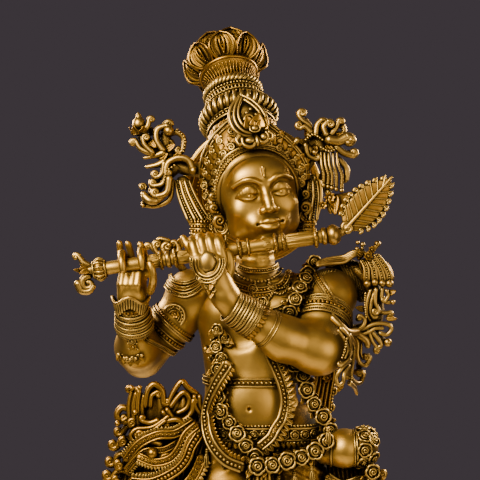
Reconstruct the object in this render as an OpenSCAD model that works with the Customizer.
// Standing flute player, an ornate brass statuette on a lotus pedestal.
// Right and left are the figure's own: its right hand is on the -X side. The front faces -Y.
// The figure is built of castings that are let into each other and brazed; the pedestal is hollow,
// closed below by a screwed plate, and holds the figure by two studs. The flute is loose in the hands.

/* [Pedestal] */
// Radius of the pedestal's foot
base_r = 104; // [98:1:112]
// Height of the pedestal, up to the soles of the feet
base_h = 70; // [64:1:78]
// Wall of the hollow pedestal
wall = 5; // [4:0.5:7]
// Thickness of the plate that closes the pedestal below
plate_t = 5; // [4:0.5:6]
// Radius of the plate's screws
screw_r = 2.5; // [2:0.25:3]

/* [Figure] */
// Radius of the studs that hold the feet
stud_r = 3; // [2.5:0.25:3.5]
// Radius of the halo disc behind the head
halo_r = 58; // [54:1:62]
// Thickness of the halo disc
halo_t = 4; // [3:0.5:5]

/* [Flute] */
// Radius of the flute's tube
flute_r = 5; // [4.5:0.25:5.5]
// Radial gap between the flute and the fingers
flute_gap = 0.5; // [0.4:0.1:0.8]
// Angle by which the flute rises towards the figure's left
flute_rise = 8.4; // [7:0.2:9]

/* [Hidden] */
designed_h = 70;               // pedestal height for which the figure's heights are written
lift = base_h - designed_h;    // how far another pedestal lifts the figure
brass = "#b8924a";
dark_brass = "#7a5a2c";
steel = "silver";
far = 400;                     // longer than any cut needs
round_fn = 64;

// The figure's joints, for the designed pedestal height
shoulder_r = [-44, 2, 434];
elbow_r = [-86, 6, 386];
wrist_r = [-90, -36, 424];
shoulder_l = [60, 2, 434];
elbow_l = [50, -34, 396];
wrist_l = [-14, -54, 428];
knee_r = [-4, -30, 205];
ankle_r = [35, -31, 104];
toe_r = [42, -44, 78];
knee_l = [22, -6, 196];
ankle_l = [14, 8, 94];
toe_l = [24, -34, 78];
head_c = [3, -6, 512];
head_turn = [0, -9, 12];       // leans to its right, looks to its left
crown_c = [-5, -2, 552];
crown_lean = [-31, -12.5, 0];    // leans back and to its right
flute_c = [0, -48, 473];
slide_out = 7;                 // travel of the flute towards the figure's left
slide_in = 6;                  // and towards its right
tube_at = -112;                // the flute's tube, along its axis, from here
tube_l = 178;
tail_at = -119;                // and the socket of its tail, which stops it against the right hand
tail_r = 8;
tail_w = 9;
halo_c = [1, 48, 516];
stud_l = [15, 2];
stud_rt = [41, -42];
screw_ring = base_r - 22;

module ball(p, r) { translate(p) sphere(r, $fn = r > 12 ? 16 : 12); }
module bone(a, ra, b, rb) { hull() { ball(a, ra); ball(b, rb); } }
// A chain of round-ended lengths through points given as [point, radius]
module chain(p) { for (i = [0 : len(p) - 2]) bone(p[i][0], p[i][1], p[i + 1][0], p[i + 1][1]); }
// A ring of radius ring around a limb at c, square to the direction d
module band(c, d, ring, thick, wide) {
    translate(c) rotate([0, acos(d[2] / norm(d)), atan2(d[1], d[0])])
        cylinder(r = ring + thick, h = wide, center = true, $fn = 24);
}
module lifted() { translate([0, 0, lift]) children(); }
module on_flute() { translate(flute_c) rotate([0, -flute_rise, 0]) rotate([0, 90, 0]) children(); }
module on_head() { translate(head_c) rotate(head_turn) children(); }
module on_crown() { translate(crown_c) rotate(crown_lean) children(); }

// Space that the moving flute needs, cut from everything near it: round the tube, the collars and the tail
module flute_way() {
    on_flute() {
        translate([0, 0, -118]) cylinder(r = flute_r + flute_gap, h = 200, $fn = 24);
        translate([0, 0, -71 - slide_in]) cylinder(r = flute_r + 3.5, h = 15 + slide_in + slide_out, $fn = 24);
        translate([0, 0, -12 - slide_in]) cylinder(r = flute_r + 3.5, h = 94, $fn = 24);
        translate([0, 0, tail_at - slide_in])
            cylinder(r = tail_r + flute_gap, h = tail_w + slide_in + slide_out + 1, $fn = 24);
    }
}

// ---- pedestal ----
module pedestal_profile() {
    polygon([[0, plate_t], [base_r - 3, plate_t], [base_r, plate_t + 3], [base_r, plate_t + 8],
        [base_r - 3, plate_t + 11], [base_r - 8, 24], [base_r - 24, 38], [base_r - 26, 43],
        [base_r - 14, 52], [base_r - 9, base_h - 6], [base_r - 10, base_h - 2], [base_r - 13, base_h],
        [0, base_h]]);
}
module pedestal_hollow() {
    polygon([[0, -1], [base_r - wall - 4, -1], [base_r - wall - 4, plate_t + 9], [base_r - 30, 36],
        [base_r - 32, 43], [base_r - 24, 54], [base_r - 22, base_h - 12], [base_r - 30, base_h - 8],
        [0, base_h - 8]]);
}
module screw_places() { for (a = [45 : 90 : 315]) rotate(a) translate([screw_ring, 0, 0]) children(); }
module lotus_pedestal() {
    color(brass) difference() {
        union() {
            difference() {
                rotate_extrude($fn = round_fn) pedestal_profile();
                rotate_extrude($fn = round_fn) pedestal_hollow();
            }
            intersection() {
                rotate_extrude($fn = round_fn) pedestal_profile();
                screw_places() translate([0, 0, plate_t]) cylinder(r = 8, h = 40, $fn = 24);
            }
        }
        screw_places() translate([0, 0, -1]) cylinder(r = screw_r, h = 24, $fn = 24);
        translate([stud_l[0], stud_l[1], base_h - 20]) cylinder(r = stud_r + 0.5, h = 30, $fn = 24);
        translate([stud_rt[0], stud_rt[1], base_h - 20]) cylinder(r = stud_r + 0.5, h = 30, $fn = 24);
    }
}
module base_plate() {
    color(dark_brass) difference() {
        cylinder(r = base_r - 2, h = plate_t, $fn = round_fn);
        screw_places() translate([0, 0, -1]) cylinder(r = screw_r + 0.5, h = 20, $fn = 24);
        screw_places() translate([0, 0, -1]) cylinder(r = screw_r * 2 + 0.5, h = 4, $fn = 24);
    }
}
module base_screws() {
    color(steel) screw_places() {
        translate([0, 0, 1]) cylinder(r = screw_r * 2, h = 2, $fn = 24);
        translate([0, 0, 2]) cylinder(r = screw_r, h = 18, $fn = 24);
    }
}
module foot_studs() {
    color(brass) {
        translate([stud_l[0], stud_l[1], base_h - 20]) cylinder(r = stud_r, h = 30, $fn = 24);
        translate([stud_rt[0], stud_rt[1], base_h - 20]) cylinder(r = stud_r, h = 26, $fn = 24);
    }
}
module under_top(z, h, r, fn) {
    for (s = [stud_l, stud_rt]) difference() {
        translate([s[0], s[1], base_h - z]) cylinder(r = r, h = h, $fn = fn);
        translate([s[0], s[1], base_h - z - 1]) cylinder(r = stud_r, h = h + 2, $fn = 24);
    }
}
module stud_washers() { color(steel) under_top(9.5, 1.5, stud_r * 2.4, 32); }
module stud_nuts() { color(steel) under_top(14.5, 5, stud_r * 2, 6); }

// ---- body ----
module torso_form() {
    hull() { ball([-22, 0, 424], 22); ball([34, 0, 424], 22); ball([-26, 3, 436], 16); ball([42, 3, 436], 16); }
    hull() { ball([-20, 0, 416], 22); ball([30, 0, 416], 22); ball([-13, 0, 360], 22); ball([10, 0, 360], 22); }
    hull() { ball([-13, 0, 360], 22); ball([10, 0, 360], 22); ball([-16, 0, 334], 24); ball([20, 0, 334], 24); }
    bone([4, 0, 440], 20, [3, -3, 466], 14);
    bone([3, -3, 466], 14, [3, -5, 478], 13);
}
module torso() { color(brass) lifted() difference() { torso_form(); flute_way(); } }
module dhoti_form() {
    hull() { ball([-19, 0, 320], 27); ball([31, 0, 320], 27); ball([-16, -4, 286], 27); ball([30, 0, 286], 27); }
    hull() { ball([-16, -4, 286], 27); ball([30, 0, 286], 27); ball([-10, -16, 250], 22); ball([28, -3, 250], 23); }
}
module dhoti() { color(brass) lifted() difference() { dhoti_form(); torso_form(); } }
module left_leg_form() {
    bone([26, -2, 260], 24, knee_l, 18);
    bone(knee_l, 18, [18, 4, 160], 17);
    bone([18, 4, 160], 17, ankle_l, 11);
    hull() { ball(ankle_l, 11); ball([14, 14, 80], 10); ball([15, -6, 82], 11); }
    hull() { ball([15, -6, 82], 11); ball(toe_l, 8); ball([32, -26, 76], 6); }
}
module right_leg_form() {
    bone([-9, -17, 256], 22, knee_r, 18);
    bone(knee_r, 18, [10, -33, 168], 15);
    bone([10, -33, 168], 15, ankle_r, 10);
    hull() { ball(ankle_r, 10); ball([33, -24, 94], 8); ball([40, -40, 84], 9); }
    hull() { ball([40, -40, 84], 8); ball(toe_r, 7); ball([49, -42, 76], 5); }
}
module floor_cut() { translate([-far / 2, -far / 2, designed_h - far]) cube([far, far, far]); }
module stud_holes() {
    translate([stud_l[0], stud_l[1], designed_h - 1]) cylinder(r = stud_r + 0.1, h = 11, $fn = 32);
    translate([stud_rt[0], stud_rt[1], designed_h - 1]) cylinder(r = stud_r + 0.1, h = 7, $fn = 32);
}
module left_leg() {
    color(brass) lifted() difference() { left_leg_form(); dhoti_form(); floor_cut(); stud_holes(); }
}
module right_leg() {
    color(brass) lifted() difference() {
        right_leg_form(); dhoti_form(); left_leg_form(); floor_cut(); stud_holes();
    }
}

// ---- head and crown ----
module head_form() {
    on_head() {
        hull() { ball([0, 9, 12], 33); ball([0, -6, 2], 31); }
        hull() { ball([0, -6, 2], 31); ball([0, -12, -16], 23); ball([0, -19, -32], 10); }
    }
}
module head() { color(brass) lifted() difference() { head_form(); torso_form(); flute_way(); } }
module bun_form() {
    on_crown() {
        hull() {
            cylinder(r = 27, h = 2, $fn = 24);
            translate([0, 0, 44]) cylinder(r = 21, h = 2, $fn = 24);
        }
        hull() {
            translate([0, 0, 46]) cylinder(r = 20, h = 2, $fn = 24);
            translate([0, 0, 60]) cylinder(r = 16, h = 2, $fn = 24);
        }
    }
}
module hair_bun() { color(brass) lifted() difference() { bun_form(); head_form(); halo_form(); } }
module rings_form() {
    on_crown() {
        translate([0, 0, 27]) rotate_extrude($fn = 32) translate([24.5, 0]) circle(r = 7, $fn = 12);
        translate([0, 0, 52]) rotate_extrude($fn = 32) translate([20, 0]) circle(r = 5, $fn = 12);
    }
}
module crown_rings() { color(brass) lifted() difference() { rings_form(); bun_form(); head_form(); halo_form(); } }
module lotus_form() {
    on_crown() hull() {
        translate([0, 0, 61]) cylinder(r = 17, h = 1, $fn = 24);
        translate([0, 0, 75]) cylinder(r = 27, h = 6, $fn = 24);
        translate([0, 0, 93]) cylinder(r = 12, h = 2, $fn = 24);
    }
}
module crown_lotus() { color(brass) lifted() difference() { lotus_form(); bun_form(); } }
// A point of the diadem, at angle a from the top of the forehead
function brow(a) = [35 * sin(a), 6 * (1 - cos(a)) - 12, 6 + 33 * cos(a)];
module diadem_form() {
    on_head() for (a = [-130 : 26 : 104])
        bone(brow(a), 5, brow(a + 26), 5);
}
module diadem() {
    color(brass) lifted() difference() { diadem_form(); head_form(); bun_form(); rings_form(); flute_way(); }
}
module crest_form() { bone([1, -27, 554], 7, [-3, -25, 570], 6); bone([-3, -25, 570], 6, [-7, -20, 584], 3); }
module crest_plume() {
    color(brass) lifted() difference() { crest_form(); diadem_form(); head_form(); bun_form(); rings_form(); }
}
module halo_form() { translate(halo_c) rotate([90, 0, 0]) cylinder(r = halo_r, h = halo_t, $fn = round_fn); }
module halo_disc() {
    color(brass) lifted() difference() {
        halo_form();
        halo_screw_places() cylinder(r = 2, h = 30, center = true, $fn = 24);
    }
}
module halo_screw_places() {
    for (z = [467, 479]) translate([halo_c[0], halo_c[1], z]) rotate([90, 0, 0]) children();
}
module halo_bracket() {
    color(dark_brass) lifted() difference() {
        union() {
            translate([halo_c[0] - 7, 30, 460]) cube([14, halo_c[1] - halo_t - 30, 26]);
            translate([halo_c[0] - 7, 10, 430]) cube([14, 26, 36]);
        }
        torso_form();
        head_form();
        translate([halo_c[0] - 20, 20, 430]) rotate([35, 0, 0]) translate([0, 12, -30]) cube([40, 30, 26]);
        halo_screw_places() cylinder(r = 2, h = 20, center = true, $fn = 24);
    }
}
module halo_screws() {
    color(steel) lifted() halo_screw_places() {
        translate([0, 0, -2]) cylinder(r = 3.6, h = 2, $fn = 24);
        cylinder(r = 2, h = 10, $fn = 24);
    }
}

// ---- arms and hands ----
module right_arm_form() {
    bone(shoulder_r, 19, elbow_r, 16);
    bone(elbow_r, 16, [-88, -12, 394], 16);
    bone([-88, -12, 394], 16, wrist_r, 11);
}
module left_arm_form() {
    bone(shoulder_l, 20, elbow_l, 18);
    bone(elbow_l, 18, [24, -42, 404], 17);
    bone([24, -42, 404], 17, wrist_l, 10.5);
}
module right_arm() { color(brass) lifted() difference() { right_arm_form(); torso_form(); } }
module left_arm() { color(brass) lifted() difference() { left_arm_form(); torso_form(); flute_way(); } }
module right_hand_form() {
    bone([-90, -39, 433], 10, [-90, -42, 446], 11);
    hull() { ball([-99, -42, 448], 8); ball([-81, -42, 450], 8); ball([-98, -46, 465], 6); ball([-84, -46, 467], 6); }
    hull() { ball([-98, -46, 465], 6); ball([-84, -46, 467], 6); ball([-97, -54, 462], 5); ball([-85, -54, 464], 5); }
    hull() { ball([-97, -54, 462], 5); ball([-85, -54, 464], 5); ball([-97, -58, 455], 4); ball([-85, -58, 457], 4); }
    hull() { ball([-99, -42, 448], 8); ball([-81, -42, 450], 8); ball([-90, -52, 446], 6); }
    bone([-99, -46, 466], 4, [-104, -46, 476], 3.5);
    bone([-88, -46, 470], 4, [-90, -46, 477], 3.5);
}
module right_hand() { color(brass) lifted() difference() { right_hand_form(); right_arm_form(); flute_way(); } }
module left_hand_form() {
    bone([-20, -56, 434], 10, [-30, -58, 446], 11);
    hull() { ball([-38, -59, 452], 8); ball([-24, -59, 452], 8); ball([-42, -59, 470], 6); ball([-24, -59, 472], 6); }
    hull() { ball([-42, -57, 474], 5); ball([-24, -57, 476], 5); ball([-41, -48, 482], 4); ball([-25, -48, 483], 4); }
    hull() { ball([-42, -59, 468], 6); ball([-24, -59, 470], 6); ball([-42, -57, 474], 5); ball([-24, -57, 476], 5); }
    hull() {
        ball([-41, -48, 482], 4);
        ball([-25, -48, 483], 4);
        ball([-41, -39, 474], 3.5);
        ball([-25, -39, 476], 3.5);
    }
    bone([-43, -56, 474], 4, [-49, -52, 484], 3);
}
module left_hand() {
    color(brass) lifted() difference() {
        left_hand_form(); left_arm_form(); head_form(); torso_form(); flute_way();
    }
}
module along(a, b, t, ring, thick, wide) { band(a + (b - a) * t, b - a, ring, thick, wide); }
module right_armlet() {
    color(brass) lifted() difference() {
        along(shoulder_r, elbow_r, 0.62, 17, 3, 9);
        right_arm_form();
        torso_form();
    }
}
module left_armlet_form() { along(shoulder_l, elbow_l, 0.5, 19, 3, 9); }
module left_armlet() {
    color(brass) lifted() difference() { left_armlet_form(); left_arm_form(); torso_form(); }
}
module right_bangles() {
    color(brass) lifted() difference() {
        along([-88, -12, 394], wrist_r, 0.86, 11.5, 4, 13);
        right_arm_form();
        right_hand_form();
        flute_way();
    }
}
module left_bangles() {
    color(brass) lifted() difference() {
        along([24, -42, 404], wrist_l, 0.86, 11.5, 3.5, 14);
        left_arm_form();
        left_hand_form();
        torso_form();
        flute_way();
    }
}

// ---- jewels and cloth ----
module right_earring_form() { on_head() bone([-32, -10, -14], 6, [-32, -12, -26], 5); }
module left_earring_form() { on_head() bone([32, -10, -14], 6, [32, -12, -26], 5); }
module right_earring() {
    color(brass) lifted() difference() {
        right_earring_form(); head_form(); diadem_form(); torso_form(); flute_way(); left_hand_form();
    }
}
module left_earring() {
    color(brass) lifted() difference() { left_earring_form(); head_form(); diadem_form(); torso_form(); flute_way(); }
}
module right_plume_form() {
    chain([[[-38, 0, 534], 7], [[-58, -4, 538], 7], [[-74, -6, 552], 8], [[-86, -6, 570], 8]]);
    bone([-72, -6, 556], 8, [-66, -6, 572], 8);
    chain([[[-60, -4, 536], 7], [[-76, -4, 520], 8], [[-82, -4, 508], 6]]);
}
module right_plume() { color(brass) lifted() difference() { right_plume_form(); head_form(); diadem_form(); } }
module left_plume_form() {
    chain([[[38, 0, 546], 8], [[54, -4, 558], 11], [[70, -4, 560], 9], [[78, -4, 548], 6]]);
    chain([[[54, -4, 556], 10], [[58, -4, 532], 9], [[60, -4, 514], 8]]);
    bone([48, -4, 564], 6, [44, -4, 578], 4);
}
module left_plume() {
    color(brass) lifted() difference() {
        left_plume_form(); head_form(); diadem_form(); halo_form(); flute_way();
    }
}
module right_lock_form() { chain([[[-50, -2, 522], 6], [[-46, -4, 504], 7], [[-40, -8, 490], 8]]); }
module right_hair_lock() {
    color(brass) lifted() difference() {
        right_lock_form(); head_form(); diadem_form(); right_plume_form(); right_earring_form(); torso_form();
        flute_way(); left_hand_form();
    }
}
module left_lock_form() { chain([[[46, -2, 524], 6], [[44, -4, 504], 7], [[42, -6, 490], 7]]); }
module left_hair_lock() {
    color(brass) lifted() difference() {
        left_lock_form(); head_form(); diadem_form(); left_plume_form(); left_earring_form(); torso_form();
        flute_way(); left_arm_form();
    }
}
// A point of the necklaces, at angle a from their lowest point
function throat(a) = [5 + 32 * sin(a), -12 - 11 * cos(a), 446 - 20 * cos(a)];
module necklace_form() {
    for (a = [-80 : 20 : 60])
        bone(throat(a), 7, throat(a + 20), 7);
}
module necklaces() {
    color(brass) lifted() difference() {
        necklace_form(); torso_form(); left_arm_form(); left_hand_form(); right_arm_form(); flute_way();
    }
}
module shoulder_garland_form() {
    chain([[[46, -10, 460], 6], [[40, -24, 447], 6], [[34, -27, 436], 6], [[28, -28, 426], 6]]);
}
module shoulder_garland() {
    color(brass) lifted() difference() {
        shoulder_garland_form(); torso_form(); left_arm_form(); necklace_form(); flute_way(); left_lock_form();
    }
}
module right_garland_form() {
    chain([[[-24, -25, 404], 6], [[-23, -27, 378], 6], [[-22, -28, 352], 6],
        [[-12, -31, 332], 7], [[4, -34, 316], 8]]);
}
module right_garland() {
    color(brass) lifted() difference() {
        right_garland_form(); torso_form(); dhoti_form();
        left_arm_form(); left_hand_form(); belt_form(); belly_form();
    }
}
module left_garland_form() {
    chain([[[30, -26, 384], 6], [[40, -28, 366], 6], [[50, -28, 346], 6], [[56, -28, 330], 7], [[38, -32, 318], 7]]);
    bone([38, -32, 318], 7, [16, -35, 310], 7);
}
module left_garland() {
    color(brass) lifted() difference() {
        left_garland_form(); right_garland_form(); torso_form(); dhoti_form();
        left_arm_form(); belt_form(); belly_form();
    }
}
module mala_form() {
    chain([[[-30, -25, 372], 4], [[-35, -26, 350], 4], [[-32, -29, 326], 4], [[-20, -33, 306], 5]]);
    chain([[[14, -25, 388], 4], [[20, -26, 368], 4], [[22, -27, 350], 4], [[20, -28, 336], 4], [[10, -32, 326], 4]]);
}
module beaded_mala() {
    color(brass) lifted() difference() {
        mala_form(); right_garland_form(); left_garland_form(); torso_form(); dhoti_form(); left_arm_form();
        belt_form(); belly_form();
    }
}
module belly_form() {
    hull() { translate([-13, 0, 369]) cylinder(r = 25, h = 6, center = true, $fn = 24);
        translate([11, 0, 369]) cylinder(r = 25, h = 6, center = true, $fn = 24); }
}
module belly_band() { color(brass) lifted() difference() { belly_form(); torso_form(); } }
module belt_form() {
    hull() { translate([-18, 0, 330]) cylinder(r = 30, h = 10, center = true, $fn = 32);
        translate([29, 0, 330]) cylinder(r = 30, h = 10, center = true, $fn = 32); }
}
module waist_belt() { color(brass) lifted() difference() { belt_form(); torso_form(); dhoti_form(); } }
module pleats_form() {
    hull() { ball([6, -32, 306], 8); ball([14, -32, 306], 8); ball([0, -34, 260], 7); ball([16, -34, 260], 7); }
    hull() { ball([0, -34, 260], 7); ball([16, -34, 260], 7); ball([-14, -50, 190], 5); ball([-2, -52, 180], 5); }
}
module front_pleats() {
    color(brass) lifted() difference() {
        pleats_form(); dhoti_form(); left_leg_form(); right_leg_form(); right_garland_form(); left_garland_form();
        mala_form(); belt_form();
    }
}
module right_sash_form() {
    hull() { ball([-38, -14, 340], 8); ball([-84, -14, 350], 7); ball([-96, -14, 320], 7); ball([-40, -16, 310], 9); }
    hull() {
        ball([-40, -16, 310], 9);
        ball([-96, -14, 320], 7);
        ball([-104, -12, 290], 7);
        ball([-44, -14, 276], 8);
    }
    hull() {
        ball([-44, -14, 276], 8);
        ball([-104, -12, 290], 7);
        ball([-92, -10, 240], 6);
        ball([-60, -10, 226], 6);
    }
}
module right_sash() {
    color(brass) lifted() difference() {
        right_sash_form(); torso_form(); dhoti_form(); belt_form(); mala_form(); right_garland_form();
        left_leg_form(); right_leg_form();
    }
}
module hip_ball_form() { bone([58, -16, 318], 14, [72, -22, 318], 15); bone([72, -22, 318], 15, [84, -22, 320], 13); }
module hip_ball() {
    color(brass) lifted() difference() {
        hip_ball_form(); torso_form(); dhoti_form(); belt_form(); left_garland_form();
    }
}
module left_sash_form() {
    hull() { ball([60, -8, 300], 8); ball([84, -8, 300], 8); ball([64, -8, 262], 8); ball([94, -8, 256], 7); }
    hull() { ball([64, -8, 262], 8); ball([94, -8, 256], 7); ball([70, -8, 226], 6); ball([88, -8, 222], 6); }
}
module left_sash() {
    color(brass) lifted() difference() {
        left_sash_form(); hip_ball_form(); dhoti_form(); belt_form(); left_leg_form();
    }
}
module arm_scarf_form() {
    chain([[[66, 8, 452], 8], [[84, 0, 452], 8], [[96, -6, 440], 8], [[98, -8, 418], 8], [[96, -8, 400], 9]]);
    chain([[[72, -14, 404], 7], [[80, -12, 392], 7], [[86, -10, 374], 7], [[76, -10, 360], 6]]);
    bone([72, -14, 404], 7, [94, -8, 400], 8);
}
module arm_scarf() {
    color(brass) lifted() difference() {
        arm_scarf_form(); left_arm_form(); torso_form(); left_armlet_form(); flute_way();
    }
}
module back_scarf_form() { chain([[[70, 20, 424], 8], [[64, 22, 390], 7], [[58, 22, 350], 8], [[54, 20, 320], 8]]); }
module back_scarf() {
    color(brass) lifted() difference() {
        back_scarf_form(); left_arm_form(); torso_form(); dhoti_form();
        belt_form(); hip_ball_form(); arm_scarf_form();
        left_armlet_form();
    }
}
module right_anklet() {
    color(brass) lifted() difference() {
        along([10, -33, 168], ankle_r, 0.86, 11, 4, 9); right_leg_form(); left_leg_form();
    }
}
module left_anklet() {
    color(brass) lifted() difference() {
        along([18, 4, 160], ankle_l, 0.86, 12, 4, 9); left_leg_form(); right_leg_form();
    }
}

// ---- flute, along its own axis ----
module flute_tube() {
    color(brass) lifted() on_flute() translate([0, 0, tube_at]) cylinder(r = flute_r, h = tube_l, $fn = 32);
}
module collar_ring(at, wide, out) {
    translate([0, 0, at]) difference() {
        cylinder(r = flute_r + out, h = wide, $fn = 32);
        translate([0, 0, -1]) cylinder(r = flute_r, h = wide + 2, $fn = 32);
    }
}
module flute_collars() {
    color(brass) lifted() on_flute() {
        for (c = [[-70, 3, 2], [-65, 4, 1.5], [-59, 3, 2], [-11, 3, 2.4], [-4, 2, 2],
                [16, 3, 2.4], [22, 3, 2], [46, 3, 2.6], [52, 4, 1.6]])
            collar_ring(c[0], c[1], c[2]);
    }
}
module flute_leaf() {
    color(brass) lifted() difference() {
        hull() {
            ball([66, -48, 484], 7);
            ball([84, -48, 506], 12);
            ball([84, -48, 490], 9);
            ball([101, -48, 520], 4);
        }
        on_flute() translate([0, 0, tube_at]) cylinder(r = flute_r, h = tube_l, $fn = 32);
    }
}
module flute_tail() {
    color(brass) lifted() difference() {
        union() {
            on_flute() translate([0, 0, tail_at]) cylinder(r = tail_r, h = tail_w, $fn = 24);
            bone([-122, -48, 455], 6, [-129, -48, 464], 5);
            bone([-122, -48, 455], 6, [-127, -48, 444], 7);
        }
        on_flute() translate([0, 0, tube_at]) cylinder(r = flute_r, h = tube_l, $fn = 32);
    }
}

// ---- what is drawn ----
base_plate();
base_screws();
lotus_pedestal();
foot_studs();
stud_washers();
stud_nuts();
left_leg();
right_leg();
dhoti();
torso();
head();
hair_bun();
crown_rings();
crown_lotus();
diadem();
crest_plume();
halo_disc();
halo_bracket();
halo_screws();
right_arm();
left_arm();
right_hand();
left_hand();
right_armlet();
left_armlet();
right_bangles();
left_bangles();
right_earring();
left_earring();
right_plume();
left_plume();
right_hair_lock();
left_hair_lock();
necklaces();
shoulder_garland();
right_garland();
left_garland();
beaded_mala();
belly_band();
waist_belt();
front_pleats();
right_sash();
left_sash();
hip_ball();
arm_scarf();
back_scarf();
right_anklet();
left_anklet();
flute_tube();
flute_collars();
flute_leaf();
flute_tail();
